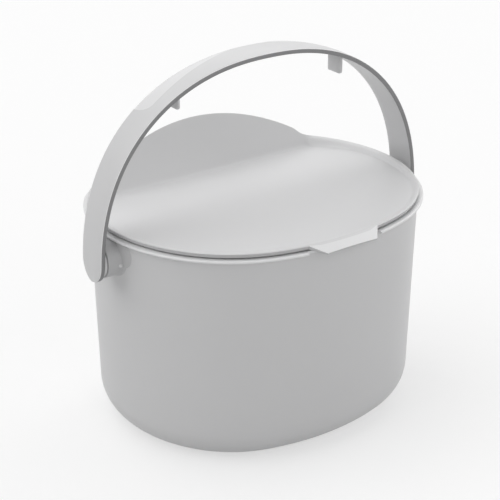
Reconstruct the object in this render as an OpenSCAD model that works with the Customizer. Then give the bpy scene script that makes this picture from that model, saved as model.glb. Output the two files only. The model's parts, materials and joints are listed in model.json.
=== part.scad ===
// Food waste caddy: a bin with a hinged lid and a bail handle that folds back.
// The origin is on the floor, under the middle of the rim. X runs along the
// handle's pivots, -Y is the front with the lid's finger tab, Z is up.

/* [Plan] */
// Width over the lid's edge
plan_w = 232.8; // [225:0.1:240]
// Distance from the origin to the front of the lid's edge
plan_front = 100.2; // [98:0.1:103]
// Plan radius of the two ends
end_r = 100; // [96:0.5:103]
// Plan radius of the two rear corners
corner_r = 30; // [29:0.5:36]

/* [Bin] */
// Height of the rim above the floor
rim_z = 153; // [120:1:190]
// Thickness of the bin's wall and floor
wall = 2.4; // [1.8:0.1:3]
// How far the wall stands inside the lid's edge, just under the rim
wall_in_top = 0.9; // [0.6:0.1:1.4]
// How far the wall stands inside the lid's edge, just above the rounded foot
wall_in_foot = 3.2; // [2:0.1:3.5]
// Radius of the rounded foot
foot_r = 24.5; // [12:0.5:25]
// How far the rim lip stands outside the lid's edge
lip_out = 3.1; // [2:0.1:5]
// Thickness of the rim lip
lip_t = 1.8; // [1.4:0.1:3]

/* [Lid] */
// Thickness of the lid's skin
lid_t = 2.2; // [1.6:0.1:2.6]
// Height of the lid's upright edge face
edge_h = 2.5; // [2:0.1:4]
// Gap between the rim and the lid's edge face
edge_gap = 1.3; // [0.8:0.1:2]
// Depth of the dished top below the top of the lid's edge
dish_depth = 6.3; // [5:0.1:7.5]
// Width of the sloped band round the dish
band_w = 8.3; // [7:0.1:11]
// How far the band has dropped over the skirt, halfway to the dish
band_drop = 2; // [1.4:0.1:2.2]
// Distance from the origin to the foot of the raised hump
hump_foot_y = 58; // [52:0.5:60]
// Slope of the hump's front face, in degrees
hump_slope = 62.4; // [55:0.2:64]
// Fillet radius at the foot of the hump
hump_foot_r = 14; // [8:1:18]
// How far the hump's rear wall leans in over its height
hump_lean = 5.4; // [4:0.2:7]
// How far the skirt reaches down inside the bin's mouth, below the rim
skirt_drop = 7; // [4:0.5:12]
// How far the skirt leans in at its lower edge
skirt_draft = 0.9; // [0.6:0.1:1.5]
// Half width of the finger tab at its root
tab_root = 27.8; // [20:0.2:32]
// Half width of the finger tab at its front edge
tab_tip = 19.9; // [12:0.1:20]
// How far the finger tab stands out in front of the lid's edge
tab_out = 7.5; // [5:0.1:9]
// How far the finger tab droops at its front edge
tab_droop = 3.6; // [2:0.1:4]
// Thickness of the finger tab
tab_t = 2; // [1.6:0.1:2.4]

/* [Lid hinge] */
// Distance of the hinge axis behind the lid's rear edge
hinge_back = 6.7; // [6.4:0.1:9]
// Depth of the hinge axis below the rim
hinge_drop = 5; // [4.5:0.1:7]
// Distance from the middle to each hinge lug's outer face
lug_x = 43; // [30:0.5:60]
// Width of each hinge lug
lug_w = 6; // [4:0.5:8]
// Radius of each hinge lug's barrel
lug_r = 4.6; // [4.2:0.1:4.8]
// Radius of each hinge stub pin
pin_r = 2.5; // [2:0.1:3]
// Thickness of each hinge bracket
bracket_w = 5; // [4:0.5:8]

/* [Handle] */
// Gap between the rim lip and each of the handle's legs
leg_gap = 9; // [8.1:0.1:15]
// Height of the handle's arch above the line that it springs from
handle_h = 129.4; // [122:0.2:140]
// How far the arch springs below the pivots
spring_drop = 10.8; // [8:0.2:14]
// Squareness of the arch, where 2 is an ellipse
arch_n = 2.28; // [2.2:0.02:2.6]
// Distance from the pivots to the bottom of the handle's rounded feet
foot_len = 14.2; // [12.2:0.1:15]
// Width of the handle's band
band = 24.4; // [22:0.1:26]
// Thickness of the handle's band
band_t = 3.4; // [2.6:0.1:4]
// Height of the handle's pivots below the rim
pivot_drop = 14.8; // [14.8:0.1:18]
// Distance of the handle's pivots in front of the origin
pivot_front = 4.6; // [0:0.1:6]
// Radius of the handle's stub pivots
stub_r = 5; // [3:0.1:7]
// Length of the handle's stub pivots inside the ears
stub_len = 7; // [4:0.2:7.5]
// Radius of the round boss on each inner face of the handle
boss_r = 11.9; // [9:0.1:11.9]
// Thickness of that boss
boss_t = 2.2; // [1:0.1:3]
// Distance from the middle to each grip tab under the arch
grip_x = 65.8; // [50:0.2:80]
// Thickness of each grip tab
grip_t = 1.6; // [1.2:0.1:3]
// Width of each grip tab
grip_w = 14.3; // [8:0.1:16]
// How far each grip tab hangs below the inside of the arch
grip_drop = 12; // [6:0.5:14]
// Depth of the thumb recesses in the handle's outer face
thumb_deep = 0.6; // [0.3:0.1:1]

/* [Clearances] */
// Radial play of the pins in their bores
pin_play = 0.06; // [0.03:0.01:0.1]
// Side play between a turning face and the face beside it
side_play = 0.4; // [0.3:0.05:0.8]
// Play between the lid's seat and the rim
seat_play = 0.4; // [0.3:0.05:0.8]
// Play between the lid's skirt and the bin's wall
skirt_play = 1.2; // [1.1:0.1:1.8]
// Play between the finger tab and the ends of its notch in the lip
notch_play = 1; // [0.5:0.1:2]

/* [Hidden] */
$fn = 64;
shade = [0.78, 0.78, 0.79];
slop = 1;

// The plan is a closed run of tangent arcs. The end, shoulder and front arcs
// meet at these directions of their normals, and so do the rear ones.
turn_lo = atan(3/4);
turn_hi = 2*turn_lo;
half_w = plan_w/2;
end_c = [half_w - end_r, 0];

// The shoulder and front radii follow from the width and the front distance.
side_sum = half_w - end_r*(1 - cos(turn_lo));
front_sum = plan_front - end_r*sin(turn_lo);
det = (cos(turn_lo) - cos(turn_hi))*(1 - sin(turn_hi))
    - cos(turn_hi)*(sin(turn_hi) - sin(turn_lo));
shoulder_r = (side_sum*(1 - sin(turn_hi)) - front_sum*cos(turn_hi))/det;
front_r = (front_sum*(cos(turn_lo) - cos(turn_hi))
    - side_sum*(sin(turn_hi) - sin(turn_lo)))/det;
shoulder_c = end_c + (end_r - shoulder_r)*[cos(turn_lo), -sin(turn_lo)];
front_c = [0, front_r - plan_front];
corner_c = end_c + (end_r - corner_r)*[cos(turn_lo), sin(turn_lo)];
rear_c = corner_c - corner_c.x/cos(turn_hi)*[cos(turn_hi), sin(turn_hi)];
rear_r = corner_r + corner_c.x/cos(turn_hi);
rear_y = rear_c.y + rear_r;

// Heights and places that follow from the sizes above.
edge_top = rim_z + edge_gap + edge_h;
dish_z = edge_top - dish_depth;
hump_top = edge_top + 34;
seat_z = rim_z + seat_play;
hinge_y = rear_y + hinge_back;
hinge_z = rim_z - hinge_drop;
pivot_y = -pivot_front;
pivot_z = rim_z - pivot_drop;
spring_z = pivot_z - spring_drop;
skirt_in = wall_in_top + wall + skirt_play;
leg_in = half_w + lip_out + leg_gap;
handle_w = 2*(leg_in + band_t);
boss_x = leg_in - boss_t;
ear_x = boss_x - side_play;
ear_r = boss_r + 0.8;
ear_root = half_w - 12.4;
lobe_r = 9.3;
lobe_x = half_w + 0.2;
nib_r = 1.8;
bracket_x = lug_x + side_play;

function arc(c, r, from, to, n) =
    [for (i = [0 : n - 1]) let (t = from + (to - from)*i/n) c + r*[cos(t), sin(t)]];

// Right half of the plan, moved outward by o, from the front middle to the rear middle.
function right_half(o) = concat(
    arc(front_c, front_r + o, -90, -turn_hi, 4),
    arc(shoulder_c, shoulder_r + o, -turn_hi, -turn_lo, 6),
    arc(end_c, end_r + o, -turn_lo, turn_lo, 12),
    arc(corner_c, corner_r + o, turn_lo, turn_hi, 5),
    arc(rear_c, rear_r + o, turn_hi, 90, 7),
    [[0, rear_y + o]]);

function outline(o) =
    let (half = right_half(o))
    concat(half, [for (i = [len(half) - 2 : -1 : 1]) [-half[i].x, half[i].y]]);

plan_n = len(outline(0));

// A closed solid through rings of the plan, each ring given as [offset, height].
// An open stack is capped at both ends; a loop joins its last ring to its first.
module stack(rings, loop = false) {
    n = len(rings);
    points = [for (ring = rings) for (p = outline(ring[0])) [p.x, p.y, ring[1]]];
    sides = [for (k = [0 : (loop ? n - 1 : n - 2)]) for (i = [0 : plan_n - 1])
        let (j = (i + 1)%plan_n, a = k*plan_n, b = ((k + 1)%n)*plan_n)
        each [[a + i, b + i, b + j], [a + i, b + j, a + j]]];
    caps = [[for (i = [0 : plan_n - 1]) i],
        [for (i = [plan_n - 1 : -1 : 0]) (n - 1)*plan_n + i]];
    polyhedron(points, loop ? sides : concat(sides, caps), convexity = 6);
}

// Rings of a wall that stands on a rounded foot, from the floor up.
function foot_rings(inset, r, z0) =
    [for (t = [0 : 15 : 90]) [-inset - r*(1 - sin(t)), z0 + r*(1 - cos(t))]];

// Turns a drawing in Y and Z into a solid of width w whose low X side is at x.
module across(x, w) {
    translate([x, 0, 0]) rotate([90, 0, 90]) linear_extrude(w) children();
}

module both_sides() {
    children();
    mirror([1, 0, 0]) children();
}

// ---- bin ----

module bin_outside() {
    stack(concat(
        foot_rings(wall_in_foot, foot_r, 0),
        [[-wall_in_top, rim_z - lip_t - 5],
         [0, rim_z - lip_t - 0.5],
         [lip_out - 0.4, rim_z - lip_t],
         [lip_out, rim_z - lip_t + 0.5],
         [lip_out, rim_z - 0.5],
         [lip_out - 0.5, rim_z]]));
}

module bin_inside() {
    stack(concat(
        foot_rings(wall_in_foot + wall, foot_r - wall, wall),
        [[-wall_in_top - wall, rim_z + slop]]));
}

// A round bar along X, from x outward by w.
module bar(x, y, z, w, r) {
    translate([x, y, z]) rotate([0, 90, 0]) cylinder(w, r = r);
}

// The ear that the handle turns on, and the lobe in front of it, under the lip.
module ear() {
    bar(ear_root, pivot_y, pivot_z, ear_x - ear_root, ear_r);
    bar(ear_root, pivot_y - ear_r + 3.7, pivot_z + 4, lobe_x - ear_root, lobe_r);
}

module nib() {
    translate([lobe_x + 0.6, pivot_y - ear_r + 0.7, pivot_z - 2]) sphere(nib_r, $fn = 24);
}

// A hinge bracket: a gusset on the rear wall with the eye for the lid's stub pin.
module bracket() {
    eye_r = lug_r + 0.9;
    across(bracket_x, bracket_w) {
        translate([hinge_y, hinge_z]) circle(eye_r);
        polygon([
            [rear_y - 12, hinge_z + 2.6],
            [hinge_y, hinge_z + eye_r],
            [hinge_y + eye_r*cos(45), hinge_z - eye_r*sin(45)],
            [rear_y - 12, hinge_z - eye_r*sin(45) - eye_r*cos(45) - hinge_back - 12]]);
    }
}

// The gap in the lip that the finger tab comes down through.
module tab_notch() {
    difference() {
        translate([-tab_root - notch_play, -plan_front - lip_out - slop, rim_z - lip_t - 0.6])
            cube([2*(tab_root + notch_play), 20, lip_t + 0.6 + slop]);
        translate([0, 0, rim_z - lip_t - slop]) linear_extrude(lip_t + 3*slop)
            polygon(outline(-0.2));
    }
}

module bin_body() color(shade) {
    difference() {
        union() {
            bin_outside();
            both_sides() {
                ear();
                nib();
                bracket();
            }
        }
        bin_inside();
        tab_notch();
        both_sides() {
            translate([ear_x - stub_len - side_play, pivot_y, pivot_z]) rotate([0, 90, 0])
                cylinder(stub_len + side_play + slop, r = stub_r + pin_play);
            translate([bracket_x - slop, hinge_y, hinge_z]) rotate([0, 90, 0])
                cylinder(bracket_w + 2*slop, r = pin_r + pin_play);
        }
    }
}

// ---- lid ----

// The dish: level at the back, rising in a smooth curve to the front edge.
dish_from = 10;
function dish(y) =
    y > dish_from ? dish_z : dish_z + dish_depth*pow((dish_from - y)/(dish_from + plan_front), 2);

// The region under the lid's top, seen from the side, lowered by drop.
module lid_side(drop, bottom) {
    r = hump_foot_r + drop;
    foot_c = [hump_foot_y - r*tan(hump_slope/2) + drop*sin(hump_slope/2), dish_z + r - drop];
    polygon(concat(
        [for (y = [-plan_front - 10 : 10 : dish_from]) [y, dish(y) - drop]],
        [for (t = [0 : hump_slope/6 : hump_slope + 0.01]) foot_c + r*[sin(t), -cos(t)]],
        [foot_c + r*[sin(hump_slope), -cos(hump_slope)] + 60*[cos(hump_slope), sin(hump_slope)],
         [rear_y + 40, hump_top + 20],
         [rear_y + 40, bottom],
         [-plan_front - 10, bottom]]));
}

module lid_outside() {
    intersection() {
        stack([
            [-skirt_in - skirt_draft, rim_z - skirt_drop],
            [-skirt_in, seat_z],
            [-2, seat_z + 0.4],
            [-1.9, edge_top - edge_h + 0.3],
            [0, edge_top - 1],
            [0, edge_top],
            [0.6 - hump_lean, edge_top + 4],
            [-hump_lean, hump_top]]);
        across(-half_w - slop, plan_w + 2*slop) lid_side(0, 0);
    }
}

module lid_inside() {
    intersection() {
        stack([
            [-skirt_in - skirt_draft - lid_t, rim_z - skirt_drop - slop],
            [-skirt_in - lid_t, edge_top - 1],
            [-lid_t - 0.6, edge_top - 0.5],
            [0.6 - hump_lean - lid_t, edge_top + 3],
            [-hump_lean - lid_t, hump_top]]);
        across(-half_w - slop, plan_w + 2*slop) lid_side(lid_t, 0);
    }
}

// The sloped band between the lid's edge and the dish, which seats on the rim.
module edge_band() {
    stack([
        [-1.5, edge_top - edge_h],
        [0, edge_top - edge_h],
        [0, edge_top],
        [-skirt_in, edge_top - band_drop],
        [-band_w, dish_z + 0.6],
        [-band_w, dish_z - lid_t + 0.4],
        [-skirt_in - 0.8, seat_z - 2],
        [-skirt_in, seat_z],
        [-1.5, seat_z]], loop = true);
}

module finger_tab() {
    root_y = -plan_front + 6;
    tip_y = -plan_front - tab_out;
    root_z = edge_top - 0.6;
    tip_z = edge_top - tab_droop;
    intersection() {
        translate([0, 0, rim_z - 5]) linear_extrude(20) polygon([
            [-tab_root, root_y], [-tab_root, -plan_front + 2], [-tab_tip, tip_y],
            [tab_tip, tip_y], [tab_root, -plan_front + 2], [tab_root, root_y]]);
        across(-tab_root, 2*tab_root) polygon([
            [root_y, root_z], [-plan_front, root_z], [tip_y, tip_z],
            [tip_y, tip_z - tab_t], [-plan_front, root_z - tab_t], [root_y, root_z - tab_t]]);
    }
}

// A hinge lug: an arm over the lip, a barrel and a stub pin that points outward.
module hinge_lug() {
    across(lug_x - lug_w, lug_w) {
        translate([hinge_y, hinge_z]) circle(lug_r);
        polygon([
            [rear_y - 9, edge_top - edge_h],
            [rear_y - 9, edge_top + 3],
            [hinge_y - 2, edge_top + 0.6],
            [hinge_y + lug_r, hinge_z],
            [hinge_y - lug_r*cos(60), hinge_z + lug_r*sin(60)],
            [hinge_y - lug_r*cos(60), edge_top - edge_h]]);
    }
    translate([lug_x - slop, hinge_y, hinge_z]) rotate([0, 90, 0])
        cylinder(bracket_w + side_play + slop, r = pin_r);
}

module lid() color(shade) {
    difference() {
        union() {
            lid_outside();
            edge_band();
        }
        lid_inside();
    }
    finger_tab();
    both_sides() hinge_lug();
}

// ---- handle ----

// A point of the arch's curve, moved inward by d, at angle t from the right leg.
function arch_point(d, t) = [
    (handle_w/2 - d)*sign(cos(t))*pow(abs(cos(t)), 2/arch_n),
    (handle_h - d)*pow(abs(sin(t)), 2/arch_n)];

// The band's side view between the curves at depths d0 and d1.
module arch_side(d0, d1, from, to, steps) {
    turn = (to - from)/steps;
    polygon(concat(
        [for (i = [0 : steps]) arch_point(d0, from + i*turn)],
        [for (i = [steps : -1 : 0]) arch_point(d1, from + i*turn)]));
}

// Places a side view at the height that the arch springs from, w wide and
// starting y behind the pivots.
module stand(y, w) {
    translate([0, pivot_y + y + w, spring_z]) rotate([90, 0, 0]) linear_extrude(w) children();
}

// The arch with straight legs, cut to the band's width and its rounded ends.
module strap() {
    intersection() {
        stand(-band, 2*band) {
            arch_side(0, band_t, 0, 180, 72);
            for (x = [-handle_w/2, leg_in])
                translate([x, -band]) square([band_t, band + 0.01]);
        }
        translate([0, pivot_y, pivot_z]) across(-handle_w/2 - slop, handle_w + 2*slop)
            polygon(concat(
                [for (p = arc([0, 0], 1, 180, 360, 24)) [p.x*band/2, p.y*foot_len]],
                [[band/2, 0], [band/2, handle_h], [-band/2, handle_h]]));
    }
}

module grip_tab() {
    top = arch_point(band_t - 1, acos(pow(grip_x/(handle_w/2), arch_n/2))).y;
    low = arch_point(band_t, acos(pow(grip_x/(handle_w/2), arch_n/2))).y - grip_drop;
    front = -4.8;
    translate([0, pivot_y, spring_z]) across(grip_x - grip_t/2, grip_t) {
        translate([front + 2, low + 2]) circle(2);
        translate([front + 2, low]) square([grip_w - 2, top - low]);
        translate([front, low + 2]) square([grip_w, top - low - 2]);
    }
}

module handle() color(shade) {
    difference() {
        union() {
            strap();
            both_sides() {
                grip_tab();
                bar(boss_x, pivot_y, pivot_z, boss_t + slop, boss_r);
                bar(ear_x - stub_len, pivot_y, pivot_z, stub_len + side_play + slop, stub_r);
            }
        }
        both_sides() stand(2.9, band) arch_side(-slop, thumb_deep, 51.25, 83.75, 13);
    }
}

bin_body();
lid();
handle();
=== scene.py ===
"""A food waste caddy: a bin, a dished lid with a raised hump, and an arched handle."""
import json
import math

import bmesh
import bpy
import numpy as np
from mathutils import Matrix, Vector


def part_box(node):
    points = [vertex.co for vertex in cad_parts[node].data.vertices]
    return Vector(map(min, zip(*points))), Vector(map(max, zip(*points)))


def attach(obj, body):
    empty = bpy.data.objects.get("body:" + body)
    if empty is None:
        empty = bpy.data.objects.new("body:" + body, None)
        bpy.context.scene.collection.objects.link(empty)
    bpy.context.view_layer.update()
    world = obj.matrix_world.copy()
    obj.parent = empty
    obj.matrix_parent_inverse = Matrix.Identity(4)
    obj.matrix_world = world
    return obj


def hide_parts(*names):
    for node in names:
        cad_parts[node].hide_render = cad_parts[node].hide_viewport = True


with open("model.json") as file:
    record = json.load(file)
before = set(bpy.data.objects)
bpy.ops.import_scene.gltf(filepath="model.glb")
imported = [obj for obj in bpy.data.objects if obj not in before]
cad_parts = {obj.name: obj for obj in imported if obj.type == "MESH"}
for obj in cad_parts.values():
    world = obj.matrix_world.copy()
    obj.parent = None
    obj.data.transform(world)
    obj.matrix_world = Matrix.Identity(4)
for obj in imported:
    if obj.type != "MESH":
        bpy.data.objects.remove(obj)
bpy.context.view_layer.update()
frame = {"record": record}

# ---- sizes, in millimetres; those that the frame gives are read from it ----
MM = 0.001
lid_low, lid_high = (np.array(corner)/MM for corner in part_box("lid"))
bin_high = np.array(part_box("bin_body")[1])/MM
handle_low, handle_high = (np.array(corner)/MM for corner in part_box("handle"))
joint_at = {j["name"]: np.array(j["pos_m"])/MM for j in frame["record"]["behaviour"]["joints"]}
play = 0.4

# plan and wall of the bin
half_w, plan_front = lid_high[0], 100.2
end_r, corner_r = 100.0, 30.0
rim_z, wall_top = 153.0, 146.0
wall, foot_r = 2.4, 24.5
wall_in_top, wall_in_foot = 0.9, 3.2
lip_out, lip_t, cove_h = 3.1, 1.8, 5.0
notch_half = 28.8

# ears, and the lobe and nib ahead of each
ear_x, ear_r, ear_fillet = bin_high[0], 12.7, 1.6
lobe_r, lobe_stand, lobe_ahead, lobe_up = 9.6, 2.3, 9.0, 4.0
nib_r, nib_x, nib_ahead, nib_down = 1.5, 117.2, 12.0, 2.0

# lid: edge, dished floor with its swell, sloped band, hump, skirt and finger tab
lid_t = 2.2
edge_low, edge_top = rim_z + 1.0, rim_z + 3.8
dish_depth, dish_from, dish_bow = 6.3, 10.0, 0.35
swell, swell_y, swell_n = 2.6, 2.0, 2.5
band_w, band_drop, band_soft = 8.3, 2.0, 0.4
# inset from the edge, and how far the band lies under the edge's top there
band_line = ((0.7, 0), (2.6, 0.2), (3.8, 0.9), (4.6, band_drop + 0.3), (6, 5),
             (7, dish_depth - 0.2), (8, 7.2), (10, 12))
hump_foot_y, hump_slope, hump_foot_r = 58.0, math.radians(62.4), 4.0
hump_lean = 5.4
skin_end = 16.0
skirt_in, skirt_drop, skirt_draft = 4.5, 7.0, 0.9
tab_root, tab_tip, tab_droop, tab_t = 27.8, 19.9, 3.6, 1.5
tab_front = -lid_low[1]

# rear hinge
hinge_y, hinge_z = joint_at["lid_hinge"][1:]
lug_x, lug_w, lug_r, pin_r, bracket_w = 43.0, 6.0, 4.6, 2.5, 5.0
eye_r, pin_play = lug_r + 0.88, 0.06
gusset_in, gusset_up, gusset_drop = 4.0, 4.2, 14.0
arm_root, arm_high = 6.0, 3.4

# handle: arch, feet, pivots, edges of the band, thumb recesses and grip tabs
arch_w, arch_top = handle_high[0], handle_high[2]
arch_n, arch_spring = 2.28, rim_z - 25.6
band, band_t = handle_high[1] - handle_low[1], 3.4
pivot_y, pivot_z = joint_at["handle_fold"][1:]
foot_len = pivot_z - handle_low[2]
boss_r, stub_r, stub_len = 11.9, 5.0, 7.0
crown, edge_round, undercut = 0.4, 0.6, 0.05
thumb_step, thumb_deep, thumb_side = 0.5, 0.7, -1.5
thumb_from, thumb_to, thumb_end = math.radians(50), math.radians(85), 0.12
thumb_rear, thumb_taper = 0.9, 1.7
grip_x, grip_t, grip_w, grip_low = 65.8, 1.6, 14.3, 228.6
grip_front, grip_front_r, grip_back_r = pivot_y - 4.8, 2.0, 0.6

# ---- the plan of the bin and lid: a closed run of tangent arcs ----
turn_lo = math.atan(3/4)
turn_hi = 2*turn_lo


def plan_arcs():
    """Centre and radius of the front, shoulder, end, corner and rear arcs."""
    side = half_w - end_r*(1 - math.cos(turn_lo))
    front = plan_front - end_r*math.sin(turn_lo)
    det = ((math.cos(turn_lo) - math.cos(turn_hi))*(1 - math.sin(turn_hi))
           - math.cos(turn_hi)*(math.sin(turn_hi) - math.sin(turn_lo)))
    shoulder_r = (side*(1 - math.sin(turn_hi)) - front*math.cos(turn_hi))/det
    front_r = (front*(math.cos(turn_lo) - math.cos(turn_hi))
               - side*(math.sin(turn_hi) - math.sin(turn_lo)))/det
    lo = np.array([math.cos(turn_lo), math.sin(turn_lo)])
    end_c = np.array([half_w - end_r, 0.0])
    shoulder_c = end_c + (end_r - shoulder_r)*lo*[1, -1]
    corner_c = end_c + (end_r - corner_r)*lo
    reach = corner_c[0]/math.cos(turn_hi)
    rear_c = corner_c - reach*np.array([math.cos(turn_hi), math.sin(turn_hi)])
    return [(np.array([0, front_r - plan_front]), front_r), (shoulder_c, shoulder_r),
            (end_c, end_r), (corner_c, corner_r), (rear_c, corner_r + reach)]


ARCS = plan_arcs()
BREAKS = [-math.pi/2, -turn_hi, -turn_lo, turn_lo, turn_hi, math.pi/2]
front_arc_r = ARCS[0][1]
end_x = ARCS[2][0][0]
rear_y = ARCS[4][0][1] + ARCS[4][1]


def plan_at(turn, out):
    """Plan points where the outline's normal points along turn, moved outward by out."""
    turn, out = np.broadcast_arrays(np.asarray(turn, float), np.asarray(out, float))
    left = turn > math.pi/2
    t = np.where(left, math.pi - turn, turn)
    x, y = np.zeros(t.shape), np.zeros(t.shape)
    for (c, r), low, high in zip(ARCS, BREAKS, BREAKS[1:]):
        here = (t >= low - 1e-9) & (t <= high + 1e-9)
        x = np.where(here, c[0] + (r + out)*np.cos(t), x)
        y = np.where(here, c[1] + (r + out)*np.sin(t), y)
    return np.where(left, -x, x), y


def plan_turns(step, front_x):
    """Directions round the plan, about step apart, with columns at the given X of the front."""
    half = [-math.pi/2]
    for (c, r), low, high in zip(ARCS, BREAKS, BREAKS[1:]):
        n = max(3, round((high - low)*r/step))
        half += list(np.linspace(low, high, n + 1)[1:])
    for x in front_x:
        half.append(-math.acos(x/front_arc_r))
    half = np.unique(np.round(half, 9))
    return np.concatenate([half, math.pi - half[-2:0:-1]])


def wall_x(y, z):
    """X of the bin's wall on the +X side, at a place under the lip."""
    inset = wall_in_top + (wall_in_foot - wall_in_top)*(wall_top - z)/(wall_top - foot_r)
    return end_x + np.sqrt((end_r - inset)**2 - np.asarray(y)**2)


# ---- meshes ----
def piece(name, points, faces, body, slot, sharp=38, zones=(), painted_shade_material=None):
    """A mesh piece from points in millimetres, on a body, with a material slot.

    Each zone is a material and a mark per face that says which faces take it; here every zone
    paints a highlight or shade into the colour. The last argument gives a material of its own in
    place of the slot's; here that is only the ears' darker colour, which is painted shade."""
    mesh = bpy.data.meshes.new(name)
    mesh.from_pydata([tuple(float(v)*MM for v in p) for p in points], [], faces)
    material_of_face = np.zeros(len(faces), int)
    for k, (_, marks) in enumerate(zones):
        material_of_face[np.array(marks, bool)] = k + 1
    mesh.polygons.foreach_set("material_index", material_of_face.tolist())
    bm = bmesh.new()
    bm.from_mesh(mesh)
    bmesh.ops.remove_doubles(bm, verts=bm.verts, dist=1e-7)
    bmesh.ops.dissolve_degenerate(bm, edges=bm.edges, dist=1e-8)
    bmesh.ops.recalc_face_normals(bm, faces=bm.faces)
    bm.to_mesh(mesh)
    bm.free()
    mesh.polygons.foreach_set("use_smooth", [True]*len(mesh.polygons))
    mesh.set_sharp_from_angle(angle=math.radians(sharp))
    obj = bpy.data.objects.new(name, mesh)
    bpy.context.collection.objects.link(obj)
    obj.data.materials.append(MATERIALS[painted_shade_material or slot])
    for material, _ in zones:
        obj.data.materials.append(MATERIALS[material])
    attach(obj, body)
    return obj


def loft(rings, loop=False):
    """Points and faces of a solid through rings of equal length, capped to a middle point."""
    rings = np.asarray(rings, float)
    n, m = rings.shape[:2]
    points = rings.reshape(-1, 3).tolist()
    faces = []
    for k in range(n if loop else n - 1):
        a, b = k*m, ((k + 1) % n)*m
        faces += [(a + i, a + (i + 1) % m, b + (i + 1) % m, b + i) for i in range(m)]
    if not loop:
        for k in (0, n - 1):
            points.append(rings[k].mean(axis=0).tolist())
            mid = len(points) - 1
            faces += [(k*m + i, mid, k*m + (i + 1) % m) for i in range(m)]
    return points, faces


def mirrored(points):
    """The points on the other side of the plane X = 0."""
    return [(-p[0], p[1], p[2]) for p in points]


def both_sides(name, points, faces, body, slot, painted_shade_material=None):
    """The same piece on the +X side and, mirrored, on the -X side."""
    for side, pts in (("_right", points), ("_left", mirrored(points))):
        piece(name + side, pts, faces, body, slot, painted_shade_material=painted_shade_material)


def plate(outline, x0, x1, round_by):
    """A flat plate with rounded edges: a convex outline in Y and Z, from x0 to x1."""
    outline = np.asarray(outline, float)
    mid = outline.mean(axis=0)
    size = np.abs(outline - mid).max()
    quarter = np.linspace(0, math.pi/2, 4)
    rings = []
    for side, x, turns in ((1, x0, quarter), (-1, x1, quarter[::-1])):
        for t in turns:
            shrink = 1 - round_by*(1 - math.sin(t))/size
            flat = mid + (outline - mid)*shrink
            deep = x + side*round_by*(1 - math.cos(t))
            rings.append(np.column_stack([np.full(len(flat), deep), flat]))
    return loft(rings)


def eye_plate(outlines, bore, x0, x1, round_by=0.5, bore_round=0.2):
    """A plate round the hinge line, as far as the eye and the outlines go, with a bore."""
    turns = np.linspace(0, 2*math.pi, 72, endpoint=False)
    far = np.array([reach(outlines, t) for t in turns])
    near = np.full(len(turns), bore)
    way = np.column_stack([np.cos(turns), np.sin(turns)])

    def ring(r, x):
        flat = np.array([hinge_y, hinge_z]) + way*r.reshape(-1, 1)
        return np.column_stack([np.full(len(flat), x), flat])

    return loft([ring(far - round_by, x0), ring(far, x0 + round_by), ring(far, x1 - round_by),
                 ring(far - round_by, x1), ring(near + bore_round, x1),
                 ring(near, x1 - bore_round), ring(near, x0 + bore_round),
                 ring(near + bore_round, x0)], loop=True)


def reach(outlines, turn):
    """How far a ray from the hinge line stays in the eye or in one of the convex outlines."""
    way = np.array([math.cos(turn), math.sin(turn)])
    best = eye_r
    for outline in outlines:
        corners = np.asarray(outline, float) - [hinge_y, hinge_z]
        for a, b in zip(corners, np.roll(corners, -1, axis=0)):
            cross = np.column_stack([way, a - b])
            if abs(np.linalg.det(cross)) < 1e-9:
                continue
            along, side = np.linalg.solve(cross, a)
            if along > best and -1e-9 <= side <= 1 + 1e-9:
                best = along
    return best


def revolve(profile, y, z, n=64):
    """A round solid about a line along X; profile gives radius and X, from axis to axis."""
    turns = np.linspace(0, 2*math.pi, n, endpoint=False)
    rings = [[(x, y + r*math.cos(t), z + r*math.sin(t)) for t in turns] for r, x in profile]
    return loft(rings)


# ---- materials ----
def group(name, inputs, outputs):
    """An empty node group with named float or colour sockets."""
    tree = bpy.data.node_groups.new(name, "ShaderNodeTree")
    for label, kind, value in inputs:
        socket = tree.interface.new_socket(label, in_out="INPUT", socket_type=kind)
        socket.default_value = value
    for label, kind in outputs:
        tree.interface.new_socket(label, in_out="OUTPUT", socket_type=kind)
    return tree, tree.nodes.new("NodeGroupInput"), tree.nodes.new("NodeGroupOutput")


def noise(tree, scale, detail, rough=0.5):
    """A noise texture; scale is a number or a socket that gives one."""
    node = tree.nodes.new("ShaderNodeTexNoise")
    node.inputs["Detail"].default_value = detail
    node.inputs["Roughness"].default_value = rough
    feed(tree, node.inputs["Scale"], scale)
    return node


def feed(tree, socket, value):
    """Link a socket to another one, or give it a plain number."""
    if isinstance(value, (int, float)):
        socket.default_value = value
    else:
        tree.links.new(value, socket)


def math_node(tree, operation, *values):
    """The output of a math node with these numbers or sockets as its inputs."""
    node = tree.nodes.new("ShaderNodeMath")
    node.operation = operation
    for socket, value in zip(node.inputs, values):
        feed(tree, socket, value)
    return node.outputs[0]


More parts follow.
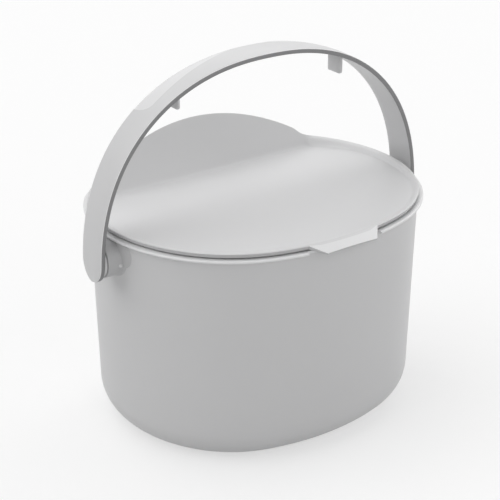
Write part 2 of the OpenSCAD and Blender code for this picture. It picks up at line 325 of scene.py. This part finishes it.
def moulded_grain():
    """Fine spark-eroded grain of a mould: height, roughness and a faint change of tone."""
    tree, given, out = group(
        "moulded_grain",
        [("Grain per metre", "NodeSocketFloat", 1800.0), ("Roughness", "NodeSocketFloat", 0.45),
         ("Colour", "NodeSocketColor", (0.6, 0.6, 0.6, 1)), ("Mottle", "NodeSocketFloat", 0.03)],
        [("Colour", "NodeSocketColor"), ("Roughness", "NodeSocketFloat"),
         ("Height", "NodeSocketFloat")])
    links = tree.links
    place = tree.nodes.new("ShaderNodeTexCoord")
    fine = noise(tree, given.outputs["Grain per metre"], 3.0, 0.6)
    cells = tree.nodes.new("ShaderNodeTexVoronoi")
    cells.feature = "SMOOTH_F1"
    links.new(given.outputs["Grain per metre"], cells.inputs["Scale"])
    broad = noise(tree, 14.0, 2.0)
    cloud = noise(tree, 130.0, 3.0)
    for node in (fine, cells, broad, cloud):
        links.new(place.outputs["Object"], node.inputs["Vector"])

    height = math_node(tree, "MULTIPLY_ADD", fine.outputs["Fac"], 0.6, cells.outputs["Distance"])
    links.new(height, out.inputs["Height"])

    both = math_node(tree, "MULTIPLY_ADD", cloud.outputs["Fac"], 0.5, broad.outputs["Fac"])
    centred = math_node(tree, "SUBTRACT", both, 0.75)
    gain = math_node(tree, "MULTIPLY_ADD", centred, given.outputs["Mottle"], 1.0)
    tint = tree.nodes.new("ShaderNodeVectorMath")
    tint.operation = "SCALE"
    links.new(given.outputs["Colour"], tint.inputs[0])
    links.new(gain, tint.inputs["Scale"])
    links.new(tint.outputs[0], out.inputs["Colour"])

    rough = math_node(tree, "MULTIPLY_ADD", cloud.outputs["Fac"], 0.08, given.outputs["Roughness"])
    links.new(rough, out.inputs["Roughness"])
    return tree


def plastic(name, colour, roughness, bump):
    """Satin moulded plastic with its grain, in the tone given; for some materials that tone is a
    painted highlight or painted shade.
    """
    mat = bpy.data.materials.new(name)
    mat.use_nodes = True
    nodes, links = mat.node_tree.nodes, mat.node_tree.links
    shader = nodes["Principled BSDF"]
    look = nodes.new("ShaderNodeGroup")
    look.node_tree = GRAIN
    look.inputs["Colour"].default_value = (*colour, 1)
    look.inputs["Roughness"].default_value = roughness
    look.inputs["Grain per metre"].default_value = GRAINS_PER_METRE
    relief = nodes.new("ShaderNodeBump")
    relief.inputs["Strength"].default_value = bump
    relief.inputs["Distance"].default_value = GRAIN_HEIGHT
    links.new(look.outputs["Height"], relief.inputs["Height"])
    links.new(relief.outputs["Normal"], shader.inputs["Normal"])
    links.new(look.outputs["Colour"], shader.inputs["Base Color"])
    links.new(look.outputs["Roughness"], shader.inputs["Roughness"])
    shader.inputs["Specular IOR Level"].default_value = SHINE
    return mat


GRAIN = moulded_grain()
GRAINS_PER_METRE, GRAIN_HEIGHT, SHINE = 1700.0, 0.00004, 0.4
# colour, roughness and strength of the grain; the tones are those that the photo shows
MATERIALS = {
    "bin_plastic": plastic("bin_plastic", (0.60, 0.60, 0.605), 0.42, 0.5),
    "lid_plastic": plastic("lid_plastic", (0.62, 0.62, 0.625), 0.42, 0.5),
    "handle_plastic": plastic("handle_plastic", (0.60, 0.60, 0.605), 0.3, 0.35),
    # lighter grey: a painted highlight on the thumb recesses and the top of the finger tab
    "thumb_pad_painted_highlight": plastic("thumb_pad_painted_highlight", (0.70, 0.70, 0.705), 0.3, 0.25),
    # darker grey: painted shade on the ears and the lobes in front of them
    "ear_plastic": plastic("ear_plastic", (0.47, 0.47, 0.474), 0.4, 0.5),
    # mid grey: painted shade on the lid's edge face
    "lid_edge_painted_shade": plastic("lid_edge_painted_shade", (0.50, 0.50, 0.504), 0.36, 0.35),
    # lighter grey: a painted highlight on the bin's lip and along the handle's front and rear
    # corners
    "rim_painted_highlight": plastic("rim_painted_highlight", (0.74, 0.74, 0.745), 0.3, 0.25),
    # dark grey: painted shade on the handle's side faces and end faces
    "handle_edge_painted_shade": plastic("handle_edge_painted_shade", (0.24, 0.24, 0.243), 0.36, 0.35),
}


# ---- bin ----
def bin_profile():
    """Outside, lip and inside of the bin as [offset, height], floor to floor."""
    foot = [(-wall_in_foot - foot_r*(1 - math.sin(t)), foot_r*(1 - math.cos(t)))
            for t in np.linspace(0, math.pi/2, 15)]
    top = rim_z - lip_t - cove_h
    side = [(-wall_in_foot + (wall_in_foot - wall_in_top)*k, foot_r + (top - foot_r)*k)
            for k in (0.25, 0.5, 0.75, 1)]
    cove = [(-0.75, top + cove_h*0.5), (-0.45, top + cove_h*0.84), (-0.1, top + cove_h*0.96),
            (0.5, top + cove_h)]
    bead = [(lip_out - lip_t/2 + lip_t/2*math.sin(t), rim_z - lip_t/2 - lip_t/2*math.cos(t))
            for t in np.linspace(0, math.pi, 9)]
    rim_in = wall_in_top + wall
    brow = [(-rim_in + 0.7, rim_z), (-rim_in + 0.2, rim_z - 0.2), (-rim_in, rim_z - 0.7)]
    in_r, in_foot = foot_r - wall, wall_in_foot + wall
    inside = [(-in_foot + (in_foot - rim_in)*k, foot_r + (rim_z - foot_r)*k)
              for k in (0.75, 0.5, 0.25)]
    bowl = [(-in_foot - in_r*(1 - math.sin(t)), wall + in_r*(1 - math.cos(t)))
            for t in np.linspace(math.pi/2, 0, 13)]
    return foot + side + cove + bead + brow + inside + bowl


def bin_shell():
    """The bin's wall, floor and lip, with the notch for the lid's finger tab."""
    notch_step = 0.06
    turns = plan_turns(2.4, (notch_half, notch_half - notch_step))
    edge_x, edge_y = plan_at(turns, 0)
    in_notch = (np.abs(edge_x) < notch_half - notch_step/2) & (edge_y < 0)
    rings = []
    for out, z in bin_profile():
        offset = np.full(len(turns), out)
        if z > rim_z - lip_t - 0.6:
            offset = np.where(in_notch, np.minimum(out, -0.2), offset)
        x, y = plan_at(turns, offset)
        rings.append(np.column_stack([x, y, np.full(len(x), z)]))
    points, faces = loft(rings)
    heights = [ring[0][2] for ring in rings]
    # the lip takes a lighter colour that is a painted highlight
    lip = [min(a, b) > rim_z - lip_t - 0.05 for a, b in zip(heights, heights[1:])]
    in_lip = np.repeat(lip, len(turns)).tolist() + [False]*(len(faces) - len(lip)*len(turns))
    shell = piece("bin_shell", points, faces, "bin", "bin_plastic", 30, [("rim_painted_highlight", in_lip)])
    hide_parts("bin_body")


def ear():
    """The round ear that the handle turns on, filleted into the wall, with its socket."""
    turns = np.linspace(0, 2*math.pi, 96, endpoint=False)
    sunk = 0.6
    rings = []
    for t in np.linspace(0, math.pi/2, 7):
        r = ear_r + ear_fillet*(1 - math.sin(t))
        y, z = pivot_y + r*np.cos(turns), pivot_z + r*np.sin(turns)
        x = wall_x(y, z) + ear_fillet*(1 - math.cos(t)) - (sunk if t == 0 else 0)
        rings.append(np.column_stack([x, y, z]))
    bore = stub_r + pin_play
    for r, x in ((ear_r, ear_x - 0.6), (ear_r - 0.15, ear_x - 0.2), (ear_r - 0.6, ear_x),
                 (stub_r + 0.3, ear_x), (bore, ear_x - 0.3), (bore, ear_x - stub_len - play)):
        y, z = pivot_y + r*np.cos(turns), pivot_z + r*np.sin(turns)
        rings.append(np.column_stack([np.full(len(y), x), y, z]))
    # the ears take a darker colour that is painted shade
    both_sides("handle_ear", *loft(rings), "bin", "bin_plastic", "ear_plastic")


def lobe():
    """The low blister in front of the ear, under the lip."""
    turns = np.linspace(0, 2*math.pi, 72, endpoint=False)
    sunk = 0.5
    rings = []
    for s in (1.06, 1.0, 0.96, 0.9, 0.82, 0.7, 0.55, 0.35, 0.15):
        y = pivot_y - lobe_ahead + lobe_r*s*np.cos(turns)
        z = pivot_z + lobe_up + lobe_r*s*np.sin(turns)
        proud = lobe_stand*(1 - s**4) if s <= 1 else -sunk
        rings.append(np.column_stack([wall_x(y, z) + proud, y, z]))
    back = rings[0].copy()
    back[:, 0] -= 0.8
    # the lobes take the same darker colour, painted shade
    both_sides("ear_lobe", *loft([back] + rings), "bin", "bin_plastic", "ear_plastic")


def nib():
    """The small stop on the front of the ear."""
    turns = np.linspace(0, 2*math.pi, 24, endpoint=False)
    y, z = pivot_y - nib_ahead, pivot_z - nib_down
    rings = [[(nib_x + nib_r*math.cos(a), y + nib_r*math.sin(a)*math.cos(t),
               z + nib_r*math.sin(a)*math.sin(t)) for t in turns]
             for a in np.linspace(0.15, math.pi - 0.15, 11)]
    both_sides("ear_nib", *loft(rings), "bin", "bin_plastic")


def hinge_bracket():
    """A gusset on the rear wall with the eye for the lid's pin."""
    x0 = lug_x + play
    low = hinge_z - eye_r*math.sin(math.pi/4)
    root = rear_y - gusset_in
    gusset = [(root, hinge_z + gusset_up), (hinge_y, hinge_z + eye_r),
              (hinge_y + eye_r*math.cos(math.pi/4), low), (root, low - gusset_drop)]
    both_sides("hinge_bracket", *eye_plate([gusset], pin_r + pin_play, x0, x0 + bracket_w),
               "bin", "bin_plastic")


# ---- lid ----
def dish(y):
    """Height of the dished floor: down from the front edge, a swell, down to the crease."""
    low = edge_top - dish_depth
    k = np.clip((dish_from - y)/(dish_from + plan_front), 0, 1)
    front = k*k*(dish_bow + (1 - dish_bow)*(3 - 2*k))
    back = np.clip((y - swell_y)/(hump_foot_y - 2*swell_y), 0, 1)**swell_n
    return low + swell + (dish_depth - swell)*front - swell*back


def face(y, inset):
    """Height of the lid's top: the floor, the hump's slope and the band round the edge."""
    foot_from = hump_foot_y - hump_foot_r*math.tan(hump_slope/2)
    foot_long = hump_foot_r*math.sin(hump_slope)
    near = np.clip(y - foot_from, 0, foot_long)
    hump = hump_foot_r - np.sqrt(hump_foot_r**2 - near**2)
    hump = hump + np.clip(y - foot_from - foot_long, 0, None)*math.tan(hump_slope)
    top = dish(y) + hump
    edge = edge_top - np.interp(inset, *zip(*band_line))
    return band_soft*np.logaddexp(top/band_soft, edge/band_soft)


def skin(y, inset, thick):
    """Height of a skin that lies so thick under the lid's top, measured square to it."""
    d = 0.05
    slope = (face(y + d, inset) - face(y - d, inset))/(2*d)
    return face(y, inset) - thick*np.sqrt(1 + slope**2)


def column(turns, walls, thick, n_wall, n_face):
    """Inset and height of one skin of the lid: up its rear wall, over the crest, down its face."""
    walls = np.asarray(walls, float)
    length = np.concatenate([[0], np.cumsum(np.hypot(*np.diff(walls, axis=0).T))])

    def on_wall(s):
        return np.interp(s, length, walls[:, 0]), np.interp(s, length, walls[:, 1])

    def on_face(inset):
        return skin(plan_at(turns, -inset)[1], inset, thick)

    low, crest_max = np.zeros(len(turns)), np.full(len(turns), length[-1])
    for _ in range(40):
        mid = (low + crest_max)/2
        inset, z = on_wall(mid)
        above = z > on_face(inset)
        low, crest_max = np.where(above, low, mid), np.where(above, mid, crest_max)
    crest = low
    crest_inset, crest_z = on_wall(crest)
    cut = np.clip(crest*0.3, 0.02, 0.7)
    rows = [on_wall((crest - cut)*k) for k in np.linspace(0, 1, n_wall)]
    before, before_z = rows[-1]
    after = crest_inset + cut
    after_z = on_face(after)
    for k in (0.25, 0.5, 0.75):
        rows.append(((1 - k)**2*before + 2*k*(1 - k)*crest_inset + k**2*after,
                     (1 - k)**2*before_z + 2*k*(1 - k)*crest_z + k**2*after_z))
    for k in np.linspace(0, 1, n_face)**1.3:
        inset = after + (skin_end - after)*k
        rows.append((inset, on_face(inset)))
    return rows


def tab_push(turns):
    """How far the edge moves out along -Y to make the finger tab."""
    x, y = plan_at(turns, 0)
    side = np.abs(x)
    slant = np.clip((side - tab_tip)/(tab_root - tab_tip), 0, 1)
    root = plan_at(-math.acos(tab_root/front_arc_r), 0)[1]
    tip = -tab_front + slant*(root + tab_front)
    push = np.where((y < 0) & (side < tab_root), y - tip, 0)
    return np.clip(push, 0, None)


def lid_shell():
    """The lid in one closed skin: underside, skirt, edge with its finger tab, and top."""
    near = 0.5
    turns = plan_turns(2.0, (tab_root, tab_root - near, tab_tip + near, tab_tip, tab_tip - near))
    push = tab_push(turns)
    share = push/push.max()
    rings = []

    def add(inset, z, out=0.0, drop=0.0):
        """A ring at an inset and height, pushed out and lowered along the finger tab."""
        x, y = plan_at(turns, -np.asarray(inset) + np.zeros(len(turns)))
        z = np.asarray(z) + np.zeros(len(turns)) - drop*share
        rings.append(np.column_stack([x, y - out*push, z]))

    def add_middle(thick, n):
        """Rings from the last one of a column inward to the middle of the lid."""
        last, middle_y = 0.985, -10.0
        x_end, y_end = plan_at(turns, np.full(len(turns), -skin_end))
        inset = np.full(len(turns), band_w*2 + skin_end)
        for k in np.minimum(np.linspace(0, 1, n + 1)[1:], last):
            x, y = x_end*(1 - k), y_end*(1 - k) + middle_y*k
            rings.append(np.column_stack([x, y, skin(y, inset, thick)]))

    low, skirt_low = skirt_in + skirt_draft, rim_z - skirt_drop
    lip_in, edge_in = 0.9, 0.7
    under_walls = [(low + lid_t, skirt_low + 0.4), (skirt_in + lid_t, edge_top - 0.5),
                   (hump_lean + lid_t - 0.6, edge_top + 3), (hump_lean + lid_t, edge_top + 40)]
    add_middle(lid_t, 40)
    rings.reverse()
    for inset, z in column(turns, under_walls, lid_t, 14, 14)[::-1]:
        add(inset, z)
    for inset, z in ((low + lid_t - 0.3, skirt_low), (low + 0.3, skirt_low),
                     (low, skirt_low + 0.4), (skirt_in, rim_z + play),
                     (skirt_in - 0.2, rim_z + play), (skirt_in - 0.3, edge_low),
                     (lip_in, edge_low)):
        add(inset, z)
    thin = edge_top - edge_low - tab_t
    edge_from = len(rings) - 1
    for out in (0.12, 0.35, 0.6, 0.8, 0.93):
        add(lip_in - (lip_in - edge_in)*out, edge_low, out, (tab_droop - thin)*out)
    for up, out in ((0.03, 0.97), (0.15, 0.995), (0.5, 1.0), (0.8, 0.99), (0.93, 0.97)):
        height = edge_low + (edge_top - edge_low)*up
        add(edge_in*(1 - up)**1.3, height, out, tab_droop*out - thin*(1 - up))
    edge_to = len(rings) - 2
    tab_top = ((0.9, 0.12), (0.75, 0.25), (0.55, 0.35), (0.35, 0.45), (0.18, 0.55),
               (0.06, 0.62))
    for out, inset in tab_top:
        add(inset, edge_top - 0.12*out, out, tab_droop*out)
    face_walls = [(edge_in, edge_top), (3.6, edge_top + 1.9), (hump_lean - 0.9, edge_top + 3.2),
                  (hump_lean - 0.55, edge_top + 5), (hump_lean, edge_top + 34)]
    for inset, z in column(turns, face_walls, 0.0, 16, 18):
        add(inset, z)
    add_middle(0.0, 80)
    points, faces = loft(rings)
    n = len(turns)
    # the lid's edge face takes a darker colour that is painted shade
    in_edge, on_tab = np.zeros((2, len(faces)), bool)
    in_edge[edge_from*n:edge_to*n] = True
    # the top of the finger tab takes a lighter colour that is a painted highlight
    on_tab[edge_to*n:(edge_to + len(tab_top))*n] = np.tile(share > 0.01, len(tab_top))
    shell = piece("lid_shell", points, faces, "lid", "lid_plastic", 40,
                  [("lid_edge_painted_shade", in_edge), ("thumb_pad_painted_highlight", on_tab)])
    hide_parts("lid")


def hinge_lug():
    """An arm over the lip with a barrel at its end, and the pin that it turns on."""
    root_y = rear_y - arm_root
    arm = [(root_y, edge_top - 1.5), (root_y, edge_top + arm_high), (hinge_y - 2, edge_top + 0.6),
           (hinge_y + lug_r*0.75, hinge_z + lug_r*0.66),
           (hinge_y + lug_r*0.2, hinge_z + lug_r*0.95), (hinge_y - lug_r*0.6, edge_top - 1.9)]
    both_sides("lug_arm", *plate(arm, lug_x - lug_w, lug_x, 0.4), "lid", "lid_plastic")
    x0, x1 = lug_x - lug_w, lug_x + bracket_w + play
    barrel = [(lug_r - 0.4, x0), (lug_r, x0 + 0.4), (lug_r, lug_x - 0.4), (lug_r - 0.4, lug_x),
              (pin_r, lug_x), (pin_r, x1 - 0.4), (pin_r - 0.4, x1)]
    both_sides("lug_pin", *revolve(barrel, hinge_y, hinge_z, 40), "lid", "lid_plastic")


# ---- handle ----
def arch_point(depth, t):
    """A point of the arch, depth inside its outer curve, at angle t from the right leg."""
    height = arch_top - arch_spring
    return ((arch_w - depth)*np.sign(np.cos(t))*np.abs(np.cos(t))**(2/arch_n),
            arch_spring + (height - depth)*np.abs(np.sin(t))**(2/arch_n))


def leg_x(depth, z):
    """X of the right leg, depth inside its outer curve, at a height."""
    up = np.clip((z - arch_spring)/(arch_top - arch_spring - depth), 0, 1)
    return (arch_w - depth)*(1 - up**arch_n)**(1/arch_n)


def stations():
    """Outer and inner points of the band and its half width, foot to foot."""
    rows = []
    for a in np.linspace(math.pi/2 - 0.06, 0, 22):
        z = pivot_z - foot_len*math.sin(a)
        rows.append((leg_x(0, z), z, leg_x(band_t, z), z, band/2*math.cos(a), 0.0))
    t0 = math.asin(((pivot_z - arch_spring)/(arch_top - arch_spring))**(arch_n/2))
    turns = list(np.linspace(t0, math.pi/2, 110)[1:])
    turns += [end + k for end in (thumb_from, thumb_to) for k in (-0.004, -0.001, 0.001, 0.004)]
    for t in sorted(turns):
        outer, inner = arch_point(0, t), arch_point(band_t, t)
        rows.append((*outer, *inner, band/2, t))
    left = [(-a, b, -c, d, w, t) for a, b, c, d, w, t in rows[-2::-1]]
    return rows + left


def thumb_line(t, half):
    """Where the recess starts across the band, in half widths: round low down, then a taper."""
    along = min(max((t - thumb_from)/(thumb_to - thumb_from), 0), 1)
    start = thumb_side/half
    start += (thumb_rear - start)*along**thumb_taper
    short = max(0, 1 - along/thumb_end)
    return start + (thumb_rear - start)*(1 - math.sqrt(1 - short*short))


def strap():
    """The band: a crowned outer face with two recesses for the thumb, and rounded edges."""
    edge_u = 0.96
    front = [-edge_u, -0.85, -0.7, -0.55, -0.4, -0.3, -0.2]
    rings, recessed = [], []
    for xo, zo, xi, zi, half, t in stations():
        outer, inner = np.array([xo, zo]), np.array([xi, zi])
        deep = np.linalg.norm(outer - inner)
        inward = (inner - outer)/deep
        bow = crown*half/(band/2)
        round_by = min(edge_round, half*0.4)
        line = thumb_line(t, half)
        inside = thumb_from < t < thumb_to
        recessed.append(inside)
        sunk = min(1, 2.5*max(0, thumb_rear - line)) if inside else 0
        step, depth = thumb_step*min(1, 3*sunk), thumb_deep*sunk

        loop = [(bow*u*u, u*(half - round_by)/edge_u) for u in front]
        loop += [(bow*u*u, u*half) for u in ((front[-1] + line)/2, line - 0.01)]
        n_pad = len(loop)
        for k in (0, 0.3, 0.6):
            u = line + 0.012 + (0.95 - line)*k
            loop.append((bow*u*u + step + (depth - step)*k, u*half))
        rear_edge = bow*0.92 + depth
        loop.append((rear_edge, half - round_by))
        n_face = len(loop)
        side = [(bow + round_by*(1 - math.cos(a)), half - round_by*(1 - math.sin(a)))
                for a in np.linspace(0.25, math.pi/2, 5)]
        lean = undercut*half/(band/2)
        side += [(deep - 0.5, half - lean), (deep - 0.1, half - lean - 0.15),
                 (deep, half - lean - 0.5)]
        loop += [(max(d, rear_edge), w) for d, w in side]
        loop += [(deep, w*half) for w in (0.6, 0.2, -0.2, -0.6)]
        loop += [(d, -w) for d, w in side[::-1]]
        at = [(outer + inward*d, w) for d, w in loop]
        rings.append([(x, pivot_y + w, z) for (x, z), w in at])
    points, faces = loft(rings)

    m, n_side, spans = len(rings[0]), len(side), len(rings) - 1
    ends = [False]*(2*m)
    # the side faces and the band's two end faces take a dark colour that is painted shade
    side_face = [n_face + 2 <= i < n_face + n_side - 1 or m - n_side <= i < m - 3
                 for i in range(m)]
    # the corners along the band take a lighter colour that is a painted highlight
    corner = [n_face - 1 <= i < n_face + 2 or m - 3 <= i for i in range(m)]
    # the thumb recesses take a lighter colour that is a painted highlight
    pad = [thumbed and n_pad <= i < n_face - 1 for thumbed in recessed[:-1] for i in range(m)]
    zones = [("handle_edge_painted_shade", side_face*spans + [True]*(2*m)), ("thumb_pad_painted_highlight", pad + ends),
             ("rim_painted_highlight", corner*spans + ends)]
    band_piece = piece("handle_strap", points, faces, "handle", "handle_plastic", 26, zones)
    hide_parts("handle")


def pivot_boss():
    """The round boss inside each leg and the stub that turns in the ear."""
    face_x = ear_x + play
    profile = [(stub_r - 0.5, ear_x - stub_len), (stub_r, ear_x - stub_len + 0.5),
               (stub_r, face_x), (boss_r - 0.4, face_x), (boss_r, face_x + 0.4),
               (boss_r, face_x + 3)]
    both_sides("pivot_boss", *revolve(profile, pivot_y, pivot_z), "handle", "handle_plastic")


def grip_tab():
    """A thin tab that hangs under the arch on each side."""
    t = math.acos((grip_x/arch_w)**(arch_n/2))
    top = arch_point(band_t - 1, t)[1]
    y0, y1, r, r_back = grip_front, grip_front + grip_w, grip_front_r, grip_back_r
    corner = [(y0 + r*(1 - math.cos(a)), grip_low + r*(1 - math.sin(a)))
              for a in np.linspace(0, math.pi/2, 8)]
    back = [(y1 - r_back*(1 - math.sin(a)), grip_low + r_back*(1 - math.cos(a)))
            for a in np.linspace(0, math.pi/2, 5)]
    outline = [(y0, top)] + corner + back + [(y1, top)]
    both_sides("grip_tab", *plate(outline, grip_x - grip_t/2, grip_x + grip_t/2, 0.35),
               "handle", "handle_plastic")


for make in (bin_shell, ear, lobe, nib, hinge_bracket, lid_shell, hinge_lug, strap, pivot_boss,
             grip_tab):
    make()


# ---- studio ----
# the way the camera looks, and what is to its right
view = Vector((0.5222, 0.7434, -0.4179)).normalized()
view_right = Vector((0.8183, -0.5748, 0)).normalized()


def seen_or_mirrored(tree):
    """1 for what the camera sees, directly or in a glossy surface."""
    path = tree.nodes.new("ShaderNodeLightPath")
    return math_node(tree, "MAXIMUM", path.outputs["Is Camera Ray"], path.outputs["Is Glossy Ray"])


def studio_floor():
    """A pale floor that the camera sees as white, with the object's soft shadow on it."""
    mesh = bpy.data.meshes.new("studio_floor")
    half = 8.0
    mesh.from_pydata([(-half, -half, 0), (half, -half, 0), (half, half, 0), (-half, half, 0)],
                     [], [(0, 1, 2, 3)])
    floor = bpy.data.objects.new("studio_floor", mesh)
    bpy.context.collection.objects.link(floor)
    mat = bpy.data.materials.new("studio_floor")
    mat.use_nodes = True
    nodes, links = mat.node_tree.nodes, mat.node_tree.links
    nodes.clear()
    pale = nodes.new("ShaderNodeBsdfDiffuse")
    pale.inputs["Color"].default_value = (0.66, 0.66, 0.66, 1)
    shadowed = nodes.new("ShaderNodeBsdfDiffuse")
    shadowed.inputs["Color"].default_value = (0.95, 0.95, 0.95, 1)
    white = nodes.new("ShaderNodeEmission")
    white.inputs["Strength"].default_value = 1.0
    seen = nodes.new("ShaderNodeMixShader")
    seen.inputs["Fac"].default_value = 0.55
    mix = nodes.new("ShaderNodeMixShader")
    out = nodes.new("ShaderNodeOutputMaterial")
    links.new(shadowed.outputs[0], seen.inputs[1])
    links.new(white.outputs[0], seen.inputs[2])
    links.new(seen_or_mirrored(mat.node_tree), mix.inputs["Fac"])
    links.new(pale.outputs[0], mix.inputs[1])
    links.new(seen.outputs[0], mix.inputs[2])
    links.new(mix.outputs[0], out.inputs["Surface"])
    floor.data.materials.append(mat)


def studio_backdrop():
    """A white backdrop for the camera and for reflections; the lamps give the light."""
    world = bpy.data.worlds.new("studio")
    bpy.context.scene.world = world
    world.use_nodes = True
    tree = world.node_tree
    sheet = tree.nodes["Background"]
    sheet.inputs["Color"].default_value = (1, 1, 1, 1)
    tree.links.new(seen_or_mirrored(tree), sheet.inputs["Strength"])


def softbox(name, turn, height, strength):
    """A broad soft lamp, placed by its turn from straight behind the object and its height."""
    turn, height = math.radians(turn), math.radians(height)
    behind = Vector((view.x, view.y, 0)).normalized()
    level = behind*math.cos(turn) + view_right*math.sin(turn)
    towards = level*math.cos(height) + Vector((0, 0, math.sin(height)))
    data = bpy.data.lights.new(name, "SUN")
    data.energy = strength
    data.angle = math.radians(70)
    lamp = bpy.data.objects.new(name, data)
    bpy.context.collection.objects.link(lamp)
    lamp.rotation_euler = towards.to_track_quat("Z", "Y").to_euler()


def camera():
    """The photograph's viewpoint, as fitted to the outline in it."""
    at = Vector((-0.520254, -0.734871, 0.52392))
    up = view_right.cross(view).normalized()
    data = bpy.data.cameras.new("camera")
    data.lens = 101.82
    data.sensor_width = 36
    data.clip_start, data.clip_end = 0.01, 100
    cam = bpy.data.objects.new("camera", data)
    bpy.context.collection.objects.link(cam)
    turn = Matrix((view_right, up, -view)).transposed().to_4x4()
    cam.matrix_world = Matrix.Translation(at) @ turn
    bpy.context.scene.camera = cam


studio_floor()
studio_backdrop()
# name, turn and height in degrees, and strength of each lamp
for lamp in (("back", 0, 52, 0.98), ("left", 270, 52, 1.58), ("right_back", 60, 18, 1.28),
             ("right", 120, 18, 0.85), ("front", 180, 18, 0.78), ("left_front", 240, 18, 0.44)):
    softbox(*lamp)
camera()
bpy.context.scene.view_settings.view_transform = "Standard"
